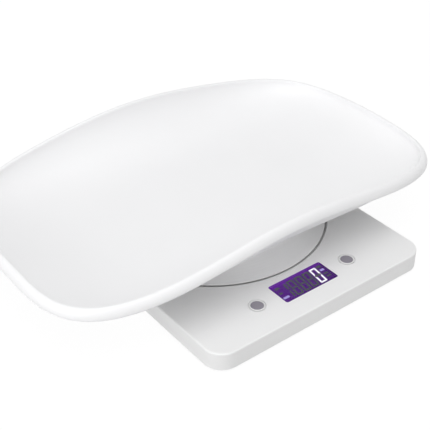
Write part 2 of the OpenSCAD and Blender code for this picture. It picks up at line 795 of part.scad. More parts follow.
// One bar of a digit, from one corner of the digit to the next, with mitred ends and a hair's gap.
module bar(from, to, inward) {
    run = unit(to - from);
    gap = bar_gap * run;
    polygon([from + gap, to - gap, to - gap + stroke * (inward - run), from + gap + stroke * (inward + run)]);
}

module middle_bar() {
    half = stroke / 2;
    tip = bar_gap + half;
    translate([0, digit_h / 2])
        polygon([
            [bar_gap, 0], [tip, half], [digit_w - tip, half],
            [digit_w - bar_gap, 0], [digit_w - tip, -half], [tip, -half]]);
}

// The outline bars of a digit whose lower left corner is the origin, split at mid height.
module right_bars() {
    bar([digit_w, digit_h / 2 - bar_gap], [digit_w, 0], [-1, 0]);
    bar([digit_w, digit_h], [digit_w, digit_h / 2 + bar_gap], [-1, 0]);
}

module left_bars() {
    bar([0, 0], [0, digit_h / 2 - bar_gap], [1, 0]);
    bar([0, digit_h / 2 + bar_gap], [0, digit_h], [1, 0]);
}

module end_bars() {
    bar([0, digit_h], [digit_w, digit_h], [0, -1]);
    bar([digit_w, 0], [0, 0], [0, 1]);
}

// Puts a flat digit into its place in the row and leans it. The place is counted from the window's middle.
module digit_place(place) {
    lean = tan(digit_lean);
    translate([place * digit_pitch + digits_x, window_y - digit_h / 2, ink_z])
        multmatrix([[1, lean, 0, 0], [0, 1, 0, 0], [0, 0, 1, 0], [0, 0, 0, 1]])
            linear_extrude(ink_t) children();
}

module sign(shares) {
    strip = shares[0];
    strip_w = strip[1] - strip[0];
    translate([strip[0] + shares[1] * strip_w, window_y + shares[2] * opening_d, ink_z])
        cube([shares[3] * strip_w, shares[4] * opening_d, ink_t]);
}

// The last digit shows a nought. Two plain blocks stand for the small lit signs.
module lit_segments() {
    color("white") on_middle() {
        digit_place(1) {
            left_bars();
            right_bars();
            end_bars();
        }
        for (shares = LIT_SIGNS)
            sign(shares);
    }
}

// The bars that are off still show a little: three eights, a one, and the middle of the nought.
module dark_segments() {
    color("darkolivegreen") on_middle() {
        for (place = [-2 : 0])
            digit_place(place) {
                left_bars();
                right_bars();
                end_bars();
                middle_bar();
            }
        digit_place(1) middle_bar();
        digit_place(-3) right_bars();
        for (shares = DARK_SIGNS)
            sign(shares);
    }
}

module backlight() {
    color("mediumpurple") on_middle() translate([0, window_y + (glass_d - backlight_d) / 2, 0])
        block(glass_w, backlight_d, backlight_z, glass_low_z);
}

module contact_strips() {
    color("dimgray") on_middle() translate([0, window_y - glass_d / 2 + strip_t / 2, 0])
        block(opening_w - 2, strip_t, board_top_z, glass_low_z);
}

module display_holder() {
    color("white") on_middle() translate([0, window_y, 0]) difference() {
        block(glass_w + 2 * frame_gap + 2 * frame_wall, glass_d + 2 * frame_gap + 2 * frame_wall,
            board_top_z, under_z - glass_gap);
        block(glass_w + 2 * frame_gap, glass_d + 2 * frame_gap, backlight_z, under_z);
        translate([0, -glass_d / 2 + strip_t / 2, 0])
            block(opening_w - 2 + 2 * frame_gap, strip_t + 2 * frame_gap, board_top_z - 1, backlight_z + 1);
    }
}

// ---- Circuit board ----

module circuit_board() {
    color("seagreen") on_middle() difference() {
        translate([0, window_y, 0]) block(board_w, board_d, board_z, board_top_z);
        for (p = BOARD_HOLES)
            translate(p) rod(board_screw_r + head_gap, board_z - 1, board_top_z + 1);
    }
}

module board_screws() {
    color("silver") on_middle()
        for (p = BOARD_HOLES)
            translate(p) screw(board_screw_r, board_screw_l, board_head_r, board_head_h, board_z);
}

// The controller under its drop of black resin, on the board's underside.
module controller_blob() {
    blob_r = 7;
    blob_h = 1.6;
    sphere_r = (blob_r * blob_r + blob_h * blob_h) / (2 * blob_h);
    color("black") on_middle() translate([0, window_y, 0]) intersection() {
        translate([0, 0, board_z + sphere_r - blob_h]) sphere(sphere_r);
        rod(blob_r + 1, board_z - blob_h - 1, board_z);
    }
}

// Chip resistors, capacitors and the weighing amplifier, in a row on the board's underside.
module board_components() {
    row_x = board_w / 2 - 16;
    color("dimgray") on_middle() translate([0, window_y, 0]) {
        for (x = [-row_x : 6 : -14])
            translate([x, -4, 0]) block(2, 1.2, board_z - 0.6, board_z);
        for (x = [14 : 6 : row_x])
            translate([x, -4, 0]) block(2, 1.2, board_z - 0.6, board_z);
        translate([24, 5, 0]) block(10, 4, board_z - 1.5, board_z);
        translate([-24, 5, 0]) rod(2, board_z - 2, board_z);
    }
}

module push_switch(x) {
    leg = 0.7;
    leg_t = 0.4;
    color("black") on_middle() translate([x, window_y, 0]) {
        difference() {
            block(switch_s, switch_s, board_top_z, plunger_z);
            rod(plunger_r + 0.15, plunger_z - plunger_h - button_travel, plunger_z + 1);
        }
        for (sx = [-1, 1], sy = [-1, 1])
            translate([sx * (switch_s / 2 + leg), sy * switch_s / 3, 0])
                block(2 * leg, leg, board_top_z, board_top_z + leg_t);
    }
}

module plunger(x) {
    color("dimgray") on_middle() translate([x, window_y, 0])
        rod(plunger_r, plunger_z - plunger_h + 0.1, flange_z);
}

// ---- Buttons ----

module button(x) {
    crown = 0.25;
    folds = 6;
    rise_z = top_z + button_rise;
    color("dimgray") on_middle() translate([x, window_y, 0]) rotate_extrude()
        polygon(concat(
            [[0, flange_z], [flange_r, flange_z]],
            [[flange_r, flange_z + flange_t], [button_r, flange_z + flange_t]],
            [for (i = [0 : folds])
                let(s = i / folds) [button_r * (1 - s), rise_z - crown * pow(1 - s, 2)]]));
}

module bezel(x) {
    folds = 6;
    crest_r = (bezel_out_r + bezel_in_r) / 2;
    color("white") on_middle() translate([x, window_y, 0]) rotate_extrude()
        polygon(concat(
            [[bezel_in_r, under_z], [barrel_r, under_z], [barrel_r, top_z], [bezel_out_r, top_z]],
            [for (i = [0 : folds]) let(a = 180 * i / folds)
                [crest_r + bezel_w / 2 * cos(a), top_z + bezel_rise * 0.4 + bezel_rise * 0.6 * sin(a)]]));
}

// ---- Batteries ----

// The door's edge on the hinge side is round, so that it turns in its opening.
module battery_door() {
    back_y = battery_y + door_d / 2;
    tab_z = floor_z + tab_rise;
    color("white") on_middle() {
        difference() {
            union() {
                translate([-door_l / 2, hinge_y, hinge_z])
                    rotate([0, 90, 0]) cylinder(h = door_l, r = door_t / 2);
                translate([-door_l / 2, hinge_y, foot_stand]) cube([door_l, back_y - hinge_y, door_t]);
            }
            for (x = [-tongue_w / 2, tongue_w / 2])
                translate([x, back_y - tongue_l / 2, 0]) block(tongue_slot, tongue_l + 1, 0, floor_z);
            for (i = [1 : groove_count])
                translate([0, back_y - i * groove_pitch, 0])
                    block(tongue_w - 4 * tongue_slot, groove_pitch / 2, 0, foot_stand + groove_t);
        }
        for (x = [-tab_x, tab_x]) {
            translate([x - tab_w / 2, hinge_y - tab_reach, tab_z]) cube([tab_w, tab_reach + tab_root, tab_t]);
            translate([x - tab_w / 2, hinge_y - tab_neck, hinge_z])
                cube([tab_w, tab_root + tab_neck, tab_z + tab_t - hinge_z]);
        }
        translate([-tongue_w / 2 + tongue_slot, back_y - door_lap - hook_t - 0.2, foot_stand + door_t - 0.2])
            cube([tongue_w - 2 * tongue_slot, hook_t, hook_h]);
    }
}

module battery(side) {
    low = -(box_in_l / 2) + plate_t + spring_l;
    color(side < 0 ? "steelblue" : "darkorange") on_middle()
        translate([0, battery_y + side * battery_pitch / 2, battery_z])
            mirror([side < 0 ? 0 : 1, 0, 0])
                translate([low, 0, 0]) rotate([0, 90, 0]) {
                    cylinder(h = battery_l - nub_h, r = battery_r);
                    translate([0, 0, battery_l - nub_h - 0.1]) cylinder(h = nub_h + 0.1, r = nub_r);
                }
}

module end_plate(side, x_side) {
    plate_s = 2 * battery_r - 1.5;
    translate([x_side * (box_in_l / 2 - plate_t / 2), battery_y + side * battery_pitch / 2, battery_z])
        block(plate_t, plate_s, -plate_s / 2, plate_s / 2);
}

module battery_plates() {
    color("silver") on_middle()
        for (side = [-1, 1])
            end_plate(side, -side);
}

// Each spring winds in from a wide ring at its plate to a narrow one at its battery.
module battery_springs() {
    turns = 4;
    steps = 10;
    spring_wire = 0.35;
    wide = battery_r * 0.75;
    narrow = battery_r * 0.4;
    coil = [for (i = [0 : turns * steps])
        let(s = i / (turns * steps), a = 360 * i / steps, r = wide + (narrow - wide) * s)
            [spring_wire / 2 + (spring_l - 1.5 * spring_wire) * s, r * cos(a), r * sin(a)]];
    color("silver") on_middle()
        for (side = [-1, 1]) {
            end_plate(side, side);
            translate([side * (box_in_l / 2 - plate_t), battery_y + side * battery_pitch / 2, battery_z])
                mirror([side < 0 ? 0 : 1, 0, 0]) tube(coil, spring_wire, 6, [1, 0, 0]);
        }
}

// ---- Leads inside the casing ----

module battery_leads() {
    corner_x = box_in_l / 2 + box_wall;
    back_y = window_y + board_d / 2;
    low_z = floor_z + 3;
    color("crimson") on_middle()
        for (s = [0, 1])
            translate([2.2 * s, 0, 0])
                tube([
                    [corner_x + 0.1 - 2.2 * s, battery_y - 4 + 3 * s, box_roof_z - 2],
                    [corner_x + 4, battery_y - 4 + 3 * s, box_roof_z - 3],
                    [corner_x + 14, battery_y - 8 + 3 * s, low_z + 2],
                    [corner_x + 30, battery_y - 26 + 1.5 * s, low_z],
                    [corner_x + 34, pan_y - 10, low_z],
                    [corner_x + 26, pan_y - 50, low_z],
                    [corner_x + 12, back_y + 16, low_z - 0.4],
                    [corner_x + 8, back_y + 6, low_z - 0.6],
                    [corner_x + 8, back_y - 2, board_z - wire_r],
                ], wire_r);
}

module load_cell_leads() {
    back_y = window_y + board_d / 2;
    low_z = floor_z + 4;
    color("gray") on_middle()
        tube([
            [-2, pan_y - cell_s / 2 - 0.1, low_z + 1],
            [-2, pan_y - cell_s / 2 - 3, low_z + 1],
            [-3, pan_y - 20, low_z],
            [-6, pan_y - 40, low_z - 1],
            [-8, pan_y - 60, low_z - 1],
            [-8, back_y + 12, low_z - 1.4],
            [-8, back_y + 4, low_z - 2],
            [-8, back_y - 3, board_z - lead_r],
        ], lead_r);
}

tray();
grip_ring();
weighing_pan();
pan_carrier();
carrier_spacer();
carrier_screws();
load_cell_bar();
strain_gauges();
load_cell_spacer();
load_cell_screws();
top_cover();
bottom_cover();
casing_screws();
foot(feet()[0]);  // foot_front_left
foot(feet()[1]);  // foot_front_right
foot(feet()[2]);  // foot_back_left
foot(feet()[3]);  // foot_back_right
display_lens();
lcd_glass();
lit_segments();
dark_segments();
backlight();
display_holder();
contact_strips();
circuit_board();
board_screws();
controller_blob();
board_components();
push_switch(left_x);  // left_switch
push_switch(right_x);  // right_switch
plunger(left_x);  // left_plunger
plunger(right_x);  // right_plunger
button(left_x);  // left_button
button(right_x);  // right_button
bezel(left_x);  // left_bezel
bezel(right_x);  // right_bezel
battery_door();
battery(-1);  // front_battery
battery(1);  // rear_battery
battery_springs();
battery_plates();
battery_leads();
load_cell_leads();
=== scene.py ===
# %% [markdown]
# # Dressing a baby scale
# The scale is a flat plastic casing with a round weighing pan, and a long shallow tray that stands
# on the pan. All its working pieces come from the CAD frame at their real size. This lesson gives
# them their surfaces, and remodels the pieces whose smooth curves matter most to the eye.
# Everything is in metres, in the frame's own axes: X to the right, Y towards the back and Z up.

# %% Load the frame
import math

import bmesh
import bpy
from mathutils import Matrix, Vector


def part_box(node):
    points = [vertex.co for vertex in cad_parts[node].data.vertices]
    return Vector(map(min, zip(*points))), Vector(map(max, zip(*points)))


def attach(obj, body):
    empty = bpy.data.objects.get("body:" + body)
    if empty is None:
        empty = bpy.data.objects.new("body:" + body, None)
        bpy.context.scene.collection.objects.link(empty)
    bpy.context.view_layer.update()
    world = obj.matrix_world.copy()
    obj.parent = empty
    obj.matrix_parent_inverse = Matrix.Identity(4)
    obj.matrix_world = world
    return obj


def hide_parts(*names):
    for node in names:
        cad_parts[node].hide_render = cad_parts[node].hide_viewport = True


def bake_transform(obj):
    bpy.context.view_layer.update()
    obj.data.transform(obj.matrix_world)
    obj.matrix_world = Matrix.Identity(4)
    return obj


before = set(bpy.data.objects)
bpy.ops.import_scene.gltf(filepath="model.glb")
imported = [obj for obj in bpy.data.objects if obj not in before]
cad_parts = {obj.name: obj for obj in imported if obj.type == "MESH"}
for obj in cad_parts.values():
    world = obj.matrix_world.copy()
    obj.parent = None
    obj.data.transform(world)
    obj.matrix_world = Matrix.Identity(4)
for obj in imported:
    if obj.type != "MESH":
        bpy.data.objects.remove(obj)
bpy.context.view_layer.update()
MM = 0.001

# %% [markdown]
# ## The camera
# The camera stands where the photographer stood: in front of the scale and to its left, looking
# down at it. Its place was found by lining up the casing's corners, the window and the two buttons,
# so it is given as a point in the frame, a point that it looks at, and a very small roll.

# %% Camera
camera_at = Vector((-373.2, -476.75, 444.9)) * MM
camera_aim = Vector((6.9, 10.25, 17.5)) * MM
camera_roll = math.radians(0.21)
camera_lens = 78.6

camera_data = bpy.data.cameras.new("camera")
camera_data.lens = camera_lens
camera_data.sensor_width = 36
camera = bpy.data.objects.new("camera", camera_data)
bpy.context.scene.collection.objects.link(camera)
look = (camera_aim - camera_at).to_track_quat("-Z", "Y").to_matrix().to_4x4()
camera.matrix_world = Matrix.Translation(camera_at) @ look @ Matrix.Rotation(camera_roll, 4, "Z")
bpy.context.scene.camera = camera
print("camera distance in mm:", round((camera_aim - camera_at).length / MM))

# %% [markdown]
# ## Colours and nodes
# A colour is read off a sample as an sRGB hex value, but a shader works in linear light, so one
# function turns one into the other. A second one adds a shader node, fills its sockets and makes
# its links in a single call, which keeps each finish below short enough to read as a recipe.


# %% Helpers for materials
def linear(hex_colour):
    channels = [int(hex_colour[i : i + 2], 16) / 255 for i in (0, 2, 4)]
    return [c / 12.92 if c <= 0.04045 else ((c + 0.055) / 1.055) ** 2.4 for c in channels] + [1.0]


def add_node(tree, kind, sockets=None, **settings):
    node = tree.nodes.new(kind)
    for key, value in settings.items():
        setattr(node, key, value)
    for name, value in (sockets or {}).items():
        socket = node.inputs[name]
        if isinstance(value, bpy.types.NodeSocket):
            tree.links.new(value, socket)
        else:
            socket.default_value = value
    return node


# Most of a noise texture's values lie between these two, so they are spread over the roughness's range.
NOISE_LOW = 0.3
NOISE_HIGH = 0.7


def new_material(name):
    material = bpy.data.materials.new(name)
    material.use_nodes = True
    material.node_tree.nodes.clear()
    return material, material.node_tree


def finish_material(tree, shader):
    add_node(tree, "ShaderNodeOutputMaterial", {"Surface": shader.outputs[0]})


print("white ABS as linear light:", [round(c, 3) for c in linear("F1F1F2")[:3]])

# %% [markdown]
# ## White ABS
# The tray, the pan and the casing are injection-moulded ABS. The tray's mould is polished, so it
# has a soft even gloss, and the casing's mould is lightly spark-eroded, which gives a fine satin
# grain. Real grain is about a twentieth of a millimetre and would not show here, so it is drawn at
# half a millimetre, very shallow. A second, much longer wave stands for the gentle unevenness that
# cooling leaves in a large flat moulding.


# %% Moulded ABS
wave_mm = 45
gloss_spread = 0.04


def moulded_abs(name, colour, shade, roughness, grain_mm, grain_depth, wave_depth):
    material, tree = new_material(name)
    place = add_node(tree, "ShaderNodeTexCoord").outputs["Object"]
    grain = add_node(
        tree,
        "ShaderNodeTexNoise",
        {"Vector": place, "Scale": 1 / (grain_mm * MM), "Detail": 2.0, "Roughness": 0.6},
    )
    wave = add_node(tree, "ShaderNodeTexNoise", {"Vector": place, "Scale": 1 / (wave_mm * MM), "Detail": 1.0})
    tint = add_node(tree, "ShaderNodeMix", {"Factor": wave.outputs["Fac"]}, data_type="RGBA")
    tint.inputs["A"].default_value = linear(colour)
    tint.inputs["B"].default_value = linear(shade)
    gloss = add_node(
        tree,
        "ShaderNodeMapRange",
        {
            "Value": grain.outputs["Fac"],
            "From Min": NOISE_LOW,
            "From Max": NOISE_HIGH,
            "To Min": roughness - gloss_spread,
            "To Max": roughness + gloss_spread,
        },
    )
    slow = add_node(
        tree, "ShaderNodeBump", {"Height": wave.outputs["Fac"], "Strength": 1.0, "Distance": wave_depth * MM}
    )
    bump = add_node(
        tree,
        "ShaderNodeBump",
        {
            "Height": grain.outputs["Fac"],
            "Strength": 1.0,
            "Distance": grain_depth * MM,
            "Normal": slow.outputs["Normal"],
        },
    )
    shader = add_node(
        tree,
        "ShaderNodeBsdfPrincipled",
        {
            "Base Color": tint.outputs["Result"],
            "Roughness": gloss.outputs["Result"],
            "IOR": 1.53,
            "Normal": bump.outputs["Normal"],
        },
    )
    finish_material(tree, shader)
    return material


tray_abs = moulded_abs("polished_white_abs", "F4F4F5", "F2F2F3", 0.42, 0.5, 0.004, 0.06)
casing_abs = moulded_abs("spark_textured_white_abs", "EFEFEF", "EDEDED", 0.44, 0.5, 0.010, 0.03)
pan_abs = moulded_abs("satin_white_abs", "F4F4F4", "F2F2F2", 0.42, 0.5, 0.008, 0.03)
button_abs = moulded_abs("satin_grey_abs", "908C96", "8B8790", 0.40, 0.3, 0.010, 0.0)
frame_abs = moulded_abs("matt_white_abs", "E2E2E0", "DCDCDA", 0.55, 0.5, 0.010, 0.02)
black_abs = moulded_abs("matt_black_nylon", "1C1C1D", "222223", 0.5, 0.4, 0.010, 0.0)
print("ABS finishes:", tray_abs.name, casing_abs.name, pan_abs.name, button_abs.name)

# %% [markdown]
# ## Rubber
# The feet and the ring under the tray are soft rubber. Rubber scatters light widely, so it looks
# dry, and its moulded skin has a fine sandy grain. A little sheen stands for the pale bloom that
# settles on it.


# %% Moulded rubber
def moulded_rubber(name, colour, shade):
    material, tree = new_material(name)
    place = add_node(tree, "ShaderNodeTexCoord").outputs["Object"]
    grain = add_node(tree, "ShaderNodeTexNoise", {"Vector": place, "Scale": 1 / (0.35 * MM), "Detail": 3.0})
    tint = add_node(tree, "ShaderNodeMix", {"Factor": grain.outputs["Fac"]}, data_type="RGBA")
    tint.inputs["A"].default_value = linear(colour)
    tint.inputs["B"].default_value = linear(shade)
    bump = add_node(
        tree, "ShaderNodeBump", {"Height": grain.outputs["Fac"], "Strength": 1.0, "Distance": 0.03 * MM}
    )
    shader = add_node(
        tree,
        "ShaderNodeBsdfPrincipled",
        {
            "Base Color": tint.outputs["Result"],
            "Roughness": 0.72,
            "IOR": 1.52,
            "Sheen Weight": 0.15,
            "Sheen Roughness": 0.5,
            "Normal": bump.outputs["Normal"],
        },
    )
    finish_material(tree, shader)
    return material


grip_rubber = moulded_rubber("pale_silicone_rubber", "D3D3D5", "C8C8CA")
foot_rubber = moulded_rubber("grey_foot_rubber", "6E6E70", "606062")
zebra_rubber = moulded_rubber("carbon_striped_silicone", "3A3A3C", "2C2C2E")
print("rubber finishes:", grip_rubber.name, foot_rubber.name, zebra_rubber.name)

# %% [markdown]
# ## Metals
# The load cell bar is milled aluminium, the spacers and screws are zinc-plated steel, and the
# battery contacts are nickel-plated spring steel. A metal has no colour of its own beyond its
# reflection, so what tells them apart is the tint and how they were worked: milling leaves fine
# lines along the bar, and plating is nearly smooth.


# %% Worked metal
def worked_metal(name, colour, roughness, line_mm, line_depth, stretch):
    material, tree = new_material(name)
    place = add_node(tree, "ShaderNodeTexCoord").outputs["Object"]
    drawn = add_node(tree, "ShaderNodeMapping", {"Vector": place, "Scale": stretch})
    lines = add_node(
        tree,
        "ShaderNodeTexNoise",
        {"Vector": drawn.outputs["Vector"], "Scale": 1 / (line_mm * MM), "Detail": 3.0},
    )
    worn = add_node(
        tree,
        "ShaderNodeMapRange",
        {
            "Value": lines.outputs["Fac"],
            "From Min": NOISE_LOW,
            "From Max": NOISE_HIGH,
            "To Min": roughness - 0.06,
            "To Max": roughness + 0.08,
        },
    )
    bump = add_node(
        tree, "ShaderNodeBump", {"Height": lines.outputs["Fac"], "Strength": 1.0, "Distance": line_depth * MM}
    )
    shader = add_node(
        tree,
        "ShaderNodeBsdfPrincipled",
        {
            "Base Color": linear(colour),
            "Metallic": 1.0,
            "Roughness": worn.outputs["Result"],
            "Normal": bump.outputs["Normal"],
        },
    )
    finish_material(tree, shader)
    return material


milled_aluminium = worked_metal("milled_aluminium", "D9DADC", 0.34, 0.4, 0.02, (0.04, 1.0, 1.0))
zinc_steel = worked_metal("zinc_plated_steel", "C4C7CC", 0.30, 0.5, 0.01, (1.0, 1.0, 1.0))
nickel_steel = worked_metal("nickel_plated_steel", "CFCBC2", 0.22, 0.6, 0.01, (1.0, 1.0, 0.3))
print("metal finishes:", milled_aluminium.name, zinc_steel.name, nickel_steel.name)

# %% [markdown]
# ## The display
# Behind a clear acrylic lens lies a violet liquid crystal cell. Its light guide is lit from the
# back edge, so the violet is strongest along the back and at the left, and fades towards the front
# right. The digit that is on lets the light through and looks white, the small signs beside it are
# dimmer and lavender, and the bars that are off still show as a dull green. The cell's glow is an
# emission, laid out by the cell's own place, so that it reads the same from every side.

# %% Liquid crystal glow
window_low, window_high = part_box("display_lens")
window_middle = (window_low + window_high) / 2
window_reach = (window_high - window_low) / 2
lit_digit_x = window_middle.x + 14.6 * MM
lit_digit_reach = 4.5 * MM


def violet_light(tree):
    place = add_node(tree, "ShaderNodeTexCoord").outputs["Object"]
    axes = add_node(tree, "ShaderNodeSeparateXYZ", {"Vector": place})
    back = add_node(
        tree,
        "ShaderNodeMapRange",
        {
            "Value": axes.outputs["Y"],
            "From Min": window_high.y - 5.0 * MM,
            "From Max": window_high.y - 0.6 * MM,
            "To Max": 0.75,
        },
        interpolation_type="SMOOTHSTEP",
    )
    across = add_node(
        tree,
        "ShaderNodeMapRange",
        {
            "Value": axes.outputs["X"],
            "From Min": window_low.x,
            "From Max": window_high.x,
            "To Min": 0.4,
            "To Max": 0.0,
        },
    )
    glow = add_node(
        tree,
        "ShaderNodeMath",
        {0: back.outputs["Result"], 1: across.outputs["Result"]},
        operation="ADD",
        use_clamp=True,
    )
    colour = add_node(tree, "ShaderNodeMix", {"Factor": glow.outputs["Value"]}, data_type="RGBA")
    colour.inputs["A"].default_value = linear("431C66")
    colour.inputs["B"].default_value = linear("602690")
    return colour.outputs["Result"], axes


def beyond(tree, position, middle, reach):
    offset = add_node(tree, "ShaderNodeMath", {0: position, 1: middle}, operation="SUBTRACT")
    distance = add_node(tree, "ShaderNodeMath", {0: offset.outputs["Value"]}, operation="ABSOLUTE")
    return add_node(
        tree, "ShaderNodeMath", {0: distance.outputs["Value"], 1: reach}, operation="GREATER_THAN"
    )


def liquid_crystal():
    material, tree = new_material("violet_liquid_crystal")
    light = violet_light(tree)[0]
    shader = add_node(
        tree,
        "ShaderNodeBsdfPrincipled",
        {
            "Base Color": linear("14091F"),
            "Roughness": 0.3,
            "Specular IOR Level": 0.05,
            "Emission Color": light,
            "Emission Strength": 1.0,
        },
    )
    finish_material(tree, shader)
    return material


def lit_ink(name, colour, glow, sign_glow, strength):
    material, tree = new_material(name)
    place = add_node(tree, "ShaderNodeTexCoord").outputs["Object"]
    axes = add_node(tree, "ShaderNodeSeparateXYZ", {"Vector": place})
    sign = beyond(tree, axes.outputs["X"], lit_digit_x, lit_digit_reach)
    light = add_node(tree, "ShaderNodeMix", {"Factor": sign.outputs["Value"]}, data_type="RGBA")
    light.inputs["A"].default_value = linear(glow)
    light.inputs["B"].default_value = linear(sign_glow)
    shader = add_node(
        tree,
        "ShaderNodeBsdfPrincipled",
        {
            "Base Color": linear(colour),
            "Roughness": 0.4,
            "Specular IOR Level": 0.05,
            "Emission Color": light.outputs["Result"],
            "Emission Strength": strength,
        },
    )
    finish_material(tree, shader)
    return material


violet_crystal = liquid_crystal()
white_bars = lit_ink("lit_crystal_bars", "1A1522", "FFFFFF", "A79BD6", 1.0)
green_bars = lit_ink("unlit_crystal_bars", "10140E", "4E5B49", "4A524C", 1.0)
print("display finishes:", violet_crystal.name, white_bars.name, green_bars.name)

# %% [markdown]
# The lens is clear cast acrylic with hardly any roughness. Acrylic's own index of 1.49 would mirror
# the white studio and lay a grey haze over the display, and the real window stays dark and clear.
# So the lens is taken as coated against reflections, and a lower index stands for the coating. A
# violet border is printed round it, which hides the ledge that it is glued to. The border is told
# apart by its distance from the lens's middle. The cell's violet glow is painted onto the border as
# an emission, a painted glow, so that the window reads as one violet pane.


# %% Clear acrylic with a printed border
def printed_acrylic(border):
    material, tree = new_material("clear_cast_acrylic")
    light, axes = violet_light(tree)
    sides = beyond(tree, axes.outputs["X"], window_middle.x, window_reach.x - border)
    ends = beyond(tree, axes.outputs["Y"], window_middle.y, window_reach.y - border)
    print_and_painted_glow = add_node(
        tree, "ShaderNodeMath", {0: sides.outputs["Value"], 1: ends.outputs["Value"]}, operation="MAXIMUM"
    )
    clear = add_node(tree, "ShaderNodeMath", {0: 1.0, 1: print_and_painted_glow.outputs["Value"]}, operation="SUBTRACT")
    tint = add_node(tree, "ShaderNodeMix", {"Factor": print_and_painted_glow.outputs["Value"]}, data_type="RGBA")
    tint.inputs["A"].default_value = linear("FBFAFF")
    tint.inputs["B"].default_value = linear("14091F")
    shader = add_node(
        tree,
        "ShaderNodeBsdfPrincipled",
        {
            "Base Color": tint.outputs["Result"],
            "Roughness": 0.06,
            "IOR": 1.12,
            "Transmission Weight": clear.outputs["Value"],
            "Specular IOR Level": 0.06,
            # Painted glow: the printed border emits the cell's violet light, though it is only ink.
            "Emission Color": light,
            "Emission Strength": print_and_painted_glow.outputs["Value"],
        },
    )
    finish_material(tree, shader)
    return material


acrylic = printed_acrylic(1.1 * MM)
print("lens finish:", acrylic.name)

# %% [markdown]
# ## Inside the casing
# What lies inside shows only when the casing or the battery door is open, but it keeps its own
# finish all the same: green solder resist over copper tracks, black resin, wire sheaths and the
# film round a battery.


# %% Solder resist
def solder_resist():
    material, tree = new_material("green_solder_resist")
    place = add_node(tree, "ShaderNodeTexCoord").outputs["Object"]
    tracks = add_node(
        tree,
        "ShaderNodeTexBrick",
        {"Vector": place, "Scale": 1 / (6 * MM), "Mortar Size": 0.06, "Brick Width": 1.4, "Row Height": 0.35},
    )
    tracks.inputs["Color1"].default_value = linear("0E5A34")
    tracks.inputs["Color2"].default_value = linear("0F5F38")
    tracks.inputs["Mortar"].default_value = linear("1B7A4A")
    bump = add_node(
        tree, "ShaderNodeBump", {"Height": tracks.outputs["Fac"], "Strength": 1.0, "Distance": 0.03 * MM}
    )
    shader = add_node(
        tree,
        "ShaderNodeBsdfPrincipled",
        {
            "Base Color": tracks.outputs["Color"],
            "Roughness": 0.3,
            "IOR": 1.55,
            "Normal": bump.outputs["Normal"],
        },
    )
    finish_material(tree, shader)
    return material


board_resist = solder_resist()
red_sheath = moulded_abs("red_wire_sheath", "B3201F", "A51B1A", 0.42, 0.6, 0.01, 0.0)
grey_sheath = moulded_abs("grey_wire_sheath", "77787B", "6C6D70", 0.42, 0.6, 0.01, 0.0)
black_resin = moulded_abs("black_cast_resin", "0D0D0E", "121213", 0.22, 1.2, 0.02, 0.0)
white_sealant = moulded_abs("white_silicone_sealant", "E6E5E0", "DEDDD8", 0.5, 0.8, 0.05, 0.0)
guide_acrylic = moulded_abs("frosted_light_guide", "B9A6E8", "B29EE4", 0.3, 0.5, 0.01, 0.0)
battery_film = moulded_abs("blue_battery_film", "2E5F9E", "2A5893", 0.25, 0.6, 0.005, 0.0)
print("inner finishes:", board_resist.name, red_sheath.name, grey_sheath.name, battery_film.name)

# %% [markdown]
# ## Which piece has which finish
# A piece from the CAD frame keeps its exact shape and only gets its finish here, in its material
# slots.

# %% Dress the frame
FINISHES = {
    casing_abs: ["top_cover", "bottom_cover", "battery_door", "left_bezel", "right_bezel"],
    pan_abs: ["weighing_pan"],
    tray_abs: ["tray"],
    button_abs: ["left_button", "right_button", "left_plunger", "right_plunger"],
    frame_abs: ["pan_carrier", "display_holder"],
    black_abs: ["left_switch", "right_switch", "board_components"],
    grip_rubber: ["grip_ring"],
    foot_rubber: ["foot_front_left", "foot_front_right", "foot_back_left", "foot_back_right"],
    zebra_rubber: ["contact_strips"],
    milled_aluminium: ["load_cell_bar"],
    zinc_steel: [
        "carrier_spacer", "load_cell_spacer", "carrier_screws", "load_cell_screws", "casing_screws",
        "board_screws",
    ],
    nickel_steel: ["battery_springs", "battery_plates"],
    violet_crystal: ["lcd_glass"],
    white_bars: ["lit_segments"],
    green_bars: ["dark_segments"],
    acrylic: ["display_lens"],
    board_resist: ["circuit_board"],
    red_sheath: ["battery_leads"],
    grey_sheath: ["load_cell_leads"],
    black_resin: ["controller_blob"],
    white_sealant: ["strain_gauges"],
    guide_acrylic: ["backlight"],
    battery_film: ["front_battery", "rear_battery"],
}
for finish, names in FINISHES.items():
    for name in names:
        for material_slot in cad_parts[name].material_slots:
            material_slot.material = finish
print("dressed", sum(len(names) for names in FINISHES.values()), "of", len(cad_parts), "nodes")

# %% [markdown]
# ## The tray
# The tray is one thin moulding: a bowl that climbs to an arched rim, a small roll over the rim's
# inner edge, and a taller rounded side that ends in a short skirt. Every part of it is curved, so
# it is drawn here as a fine mesh of its own, in the place of the CAD solid. Its outline is a
# superellipse, its rim rises and falls with two cosine waves, and a section of the wall is swept
# round that outline. Each curve of the section has its own number of steps, most of them in the
# bowl and the rounded side, because those carry the long highlights.

# %% Tray sizes
tray_low, tray_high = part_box("tray")
pan_low, pan_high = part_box("weighing_pan")
ring_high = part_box("grip_ring")[1]
tray_centre = (tray_low + tray_high) / 2
casing_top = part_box("top_cover")[1].z
wall = 2.0 * MM
roll = 1.6 * MM
bead = 4.2 * MM
bead_height = 6.5 * MM
flare = 0.5 * MM
skirt = 1.5 * MM
squareness = 4.1
bowl_squareness = 2.0
floor_share = 0.5
rim_middle = 56.2 * MM
rim_end = 39.0 * MM
rim_wave = 3.9 * MM
half_length = (tray_high.x - tray_low.x) / 2 - bead - flare
half_width = (tray_high.y - tray_low.y) / 2 - bead - flare
floor_top = ring_high.z + wall
around_steps = 288
bowl_steps = 28
roll_steps = 8
bead_steps = 16
lip_steps = 8
inner_steps = 3
inner_climb = math.radians(35)
print("tray in mm:", [round((b - a) / MM, 1) for a, b in zip(tray_low, tray_high)])


# %% Tray curves
def rim_at(turn):
    c, s = math.cos(turn), math.sin(turn)
    size = (abs(c) ** squareness + abs(s) ** squareness) ** (-1 / squareness)
    return Vector((half_length * c, half_width * s, 0)) * size


